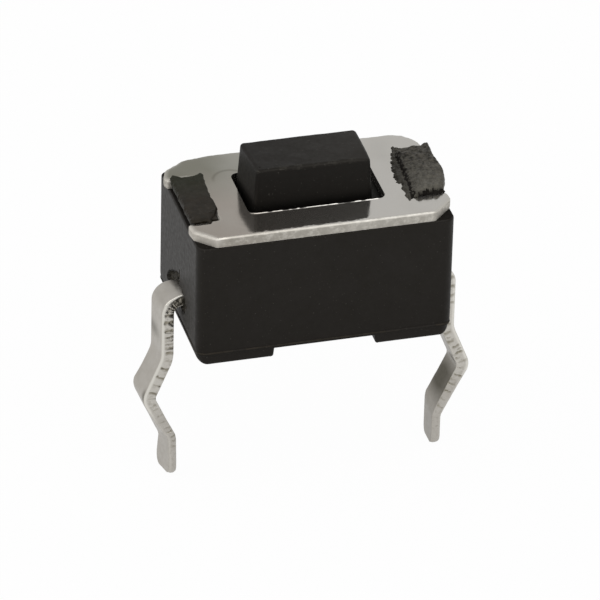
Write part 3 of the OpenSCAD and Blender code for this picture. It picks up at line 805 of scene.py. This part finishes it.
def rolled(flat):
    """Height of the plate's upper face. It is level, sinks 0.006 mm over 0.14 mm towards the outer
    edge and rolls over in the last 0.06 mm. The tabs at the left sink by 0.03 mm more over 0.26 mm,
    and a burr 0.014 mm high stands along the front of the hole."""
    d = np.maximum(depth_inside(flat, plate_outline[0]), 0)
    tab = on_tab(flat)
    to_hole = np.maximum(-depth_inside(flat, hole_outline[0]), 0)
    sinking = (0.006 + 0.03 * tab) * np.clip(1 - d / (0.14 + 0.12 * tab), 0, 1) ** 2
    waver = 1 + 0.25 * noise(flat, 0.12, 71) + 0.25 * noise(flat, 0.045, 73)
    at_front = np.clip((-0.84 - flat[:, 1]) / 0.05, 0, 1)
    burr = 0.014 * np.clip(1 - abs(to_hole - 0.012) / 0.018, 0, 1) * at_front
    burr *= 1 + 0.6 * noise(flat, 0.08, 72)
    roll = 0.035 * waver * np.clip(1 - d / ((0.06 + 0.035 * tab) * waver), 0, 1) ** 2
    return plate_top - sinking - roll + burr


def near_edge(flat):
    """Attribute for the shader: 0 on the level face, 1 where the plate rolls over."""
    d = depth_inside(flat, plate_outline[0])
    reach = 0.055 + 0.04 * on_tab(flat)
    return np.clip(1.2 - d / reach, 0, 1)


edge_rings = []
for outline, way in ((plate_outline, -1), (hole_outline, 1)):
    for step in (0.006, 0.013, 0.022, 0.032, 0.044, 0.056, 0.08, 0.12, 0.17, 0.23, 0.3):
        moved = outline[0] + way * step * outline[1]
        room = np.minimum(depth_inside(moved, plate_outline[0]), -depth_inside(moved, hole_outline[0]))
        edge_rings.append(moved[room > step * 0.97][::1 if step < 0.06 else 2])
upper = sheet([plate_outline[0], hole_outline[0]], rolled, edge_rings)


def plate_side(outline):
    """Blanked edge: from the rolled upper edge straight down to a small ease at the bottom."""
    top, rows, ease = rolled(outline[0]), 5, 0.012
    share = np.linspace(0, 1, rows)[:, None, None]
    out = (-ease if outline is plate_outline else ease) * (share == 1)
    grid = np.concatenate([outline[0][None] + outline[1][None] * out,
                           top[None, :, None] * (1 - share) + plate_base * share], 2)
    return grid, rows_to_quads(rows, len(outline[0]))


outer_side, hole_side = plate_side(plate_outline), plate_side(hole_outline)
lower = sheet([outer_side[0][-1, :, :2], hole_side[0][-1, :, :2]], level(plate_base))
plate_sheets = [upper, outer_side, hole_side, lower]
edge_share = np.concatenate([near_edge(s[0].reshape(-1, 3)[:, :2]) for s in plate_sheets])
plate = make_piece("plate_blank", plate_sheets, {"rolled": edge_share}, crease=60)


def nickel(name, rough, size, depth, edge_tone, grained):
    """Bright nickel. The level face carries a painted reflection: brown-grey at the left, greener at the
    back there and paler to the right. The rolled edges have a tone of their own, paler at the left end,
    and are duller but for a polished spot on the front left corner. A faint brown arc lies behind the
    hole's back left corner. rough is the lowest and highest roughness, size and depth belong to the fine
    grain, and grained is how much its pale grains show."""
    material, tree, shader = finish(name, Metallic=0.95, IOR=1.5)
    place = add(tree, "TexCoord").outputs["Object"]
    split = add(tree, "SeparateXYZ", {"Vector": place})
    ramp = lambda axis, start, end, *shares: spread(tree, split.outputs[axis], start * MM, end * MM, *shares)
    clouds = spread(tree, speckle(tree, place, 1.5, 2.0), 0.3, 0.7, -0.12, 0.12)
    # The brown-grey, greener and paler tones across the level face are a painted reflection.
    painted_reflection_right = reckon(tree, "ADD", ramp("X", -2.4, 0.8, 0, 1), clouds)
    painted_reflection_back = reckon(tree, "ADD", ramp("Y", -0.4, 1.2, 0, 1), clouds)
    left = mix(tree, painted_reflection_back, tone(166, 158, 149), tone(134, 133, 121))
    face = mix(tree, painted_reflection_right, left, tone(202, 199, 193))
    edge = attribute(tree, "rolled")
    edge_share = reckon(tree, "MULTIPLY", edge, 0.7)
    face = mix(tree, edge_share, face, edge_tone)
    grains = spread(tree, speckle(tree, place, 0.1, 2.0), 0.45, 0.7, 0, grained)
    face = mix(tree, grains, face, tone(232, 229, 221))
    end = reckon(tree, "MULTIPLY", ramp("X", -2.55, -2.4, 1, 0), edge_share)
    end = reckon(tree, "MULTIPLY", end, ramp("Y", 0.9, 1.2, 1, 0))
    face = mix(tree, end, face, tone(206, 202, 195))
    arc = reckon(tree, "SUBTRACT", away_from(tree, place, (-1.63, 0.66, plate_top)), 0.4 * MM)
    arc = spread(tree, reckon(tree, "ABSOLUTE", arc), 0, 0.06 * MM, 0.42, 0)
    arc = reckon(tree, "MULTIPLY", arc, ramp("Y", 0.6, 0.8, 0, 1))
    tree.links.new(mix(tree, arc, face, tone(95, 90, 78)), shader.inputs["Base Color"])
    dull = spread(tree, speckle(tree, place, 0.12), 0.3, 0.7, *rough)
    from_polish = away_from(tree, place, (-2.47, -1.72, plate_top))
    duller = spread(tree, from_polish, 0.08 * MM, 0.22 * MM, 0.15, 0.42)
    dull = reckon(tree, "MULTIPLY_ADD", edge, duller, dull)
    dull = reckon(tree, "MULTIPLY_ADD", end, 0.25, dull)
    tree.links.new(dull, shader.inputs["Roughness"])
    grain(tree, place, size, depth, 2.0, shader)
    return material


plate.data.materials.append(nickel("rolled_nickel", (0.1, 0.16), 0.5, 0.002, tone(202, 198, 189), 0.0))
plate.data.materials.append(nickel("sheared_nickel", (0.2, 0.35), 0.06, 0.006, tone(176, 172, 163), 0.45))
sheared = abs(face_values(plate, "normal")[2]) < 0.3
plate.data.polygons.foreach_set("material_index", sheared.astype(np.int32))
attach(plate, "switch_case")
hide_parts("cover_plate")


# ---- Studio --------------------------------------------------------------------------------
# A plain white table at the tips of the legs, an even white sky, two soft lamps, and a long-lens
# camera to the left of the front and above.

table, reach = -0.00406, 0.5
floor_mesh = bpy.data.meshes.new("floor")
floor_mesh.from_pydata([(-reach, -reach, table), (reach, -reach, table), (reach, reach, table),
                        (-reach, reach, table)], [], [(0, 1, 2, 3)])
floor = bpy.data.objects.new("floor", floor_mesh)
bpy.context.scene.collection.objects.link(floor)
paper, tree, shader = finish("white_paper", Roughness=0.9, Specular_IOR_Level=0.0)
shader.inputs["Base Color"].default_value = (0.82, 0.82, 0.82, 1)
rays = add(tree, "LightPath")
glow = add(tree, "Emission", {"Color": (1, 1, 1, 1), "Strength": 1.0})
share = reckon(tree, "MULTIPLY", rays.outputs["Is Camera Ray"], 0.97)
share = reckon(tree, "MULTIPLY_ADD", rays.outputs["Is Glossy Ray"], 0.6, share)
share = reckon(tree, "MULTIPLY_ADD", rays.outputs["Is Transmission Ray"], 0.6, share)
both = add(tree, "MixShader", {"Fac": share, 1: shader.outputs[0], 2: glow.outputs[0]})
tree.links.new(both.outputs[0], tree.nodes["Material Output"].inputs["Surface"])
floor_mesh.materials.append(paper)
floor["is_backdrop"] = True

sky = bpy.data.worlds.new("sky")
bpy.context.scene.world = sky
sky.use_nodes = True
tree = sky.node_tree
rays = add(tree, "LightPath")
level_up = reckon(tree, "MAXIMUM", rays.outputs["Is Camera Ray"], rays.outputs["Is Glossy Ray"])
level_up = reckon(tree, "MAXIMUM", level_up, rays.outputs["Is Transmission Ray"])
seen = reckon(tree, "MULTIPLY_ADD", rays.outputs["Is Camera Ray"], 0.28, 0.72)
strength = add(tree, "Mix", {0: level_up, 2: 0.5, 3: seen}).outputs[0]
background = tree.nodes["Background"]
background.inputs["Color"].default_value = (1, 1, 1, 1)
tree.links.new(strength, background.inputs["Strength"])


def soft_lamp(name, place, size, watts):
    """Square lamp at a place in metres that faces the housing."""
    light = bpy.data.lights.new(name, "AREA")
    light.size, light.energy = size, watts
    lamp = bpy.data.objects.new(name, light)
    lamp.location = place
    lamp.rotation_euler = (Vector(place) - Vector((0, 0, 0.002))).to_track_quat("Z", "Y").to_euler()
    bpy.context.scene.collection.objects.link(lamp)


soft_lamp("left_lamp", (-0.2, -0.03, 0.16), 0.2, 0.22)
soft_lamp("top_lamp", (0.05, -0.18, 0.28), 0.28, 0.35)

view = bpy.data.cameras.new("camera")
view.sensor_width, view.lens = 36, 368.34
view.shift_x, view.shift_y = -0.01017, -0.0813
view.clip_start, view.clip_end = 0.001, 5
camera = bpy.data.objects.new("camera", view)
azimuth, elevation, roll, distance = math.radians(-15.981), math.radians(31.883), math.radians(1.502), 0.13977
back = Vector((math.sin(azimuth) * math.cos(elevation), -math.cos(azimuth) * math.cos(elevation),
               math.sin(elevation)))
right = Vector((0, 0, 1)).cross(back).normalized()
up = back.cross(right)
right, up = right * math.cos(roll) + up * math.sin(roll), up * math.cos(roll) - right * math.sin(roll)
aim = Vector((0, 0, 0.0016))
turned = Matrix((right, up, back)).transposed().to_4x4()
camera.matrix_world = Matrix.Translation(back * distance + aim) @ turned
bpy.context.scene.collection.objects.link(camera)
bpy.context.scene.camera = camera
bpy.context.scene.view_settings.view_transform = "Standard"

new_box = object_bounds()
{"cad": [list(corner) for corner in cad_box], "visual": [list(corner) for corner in new_box]}
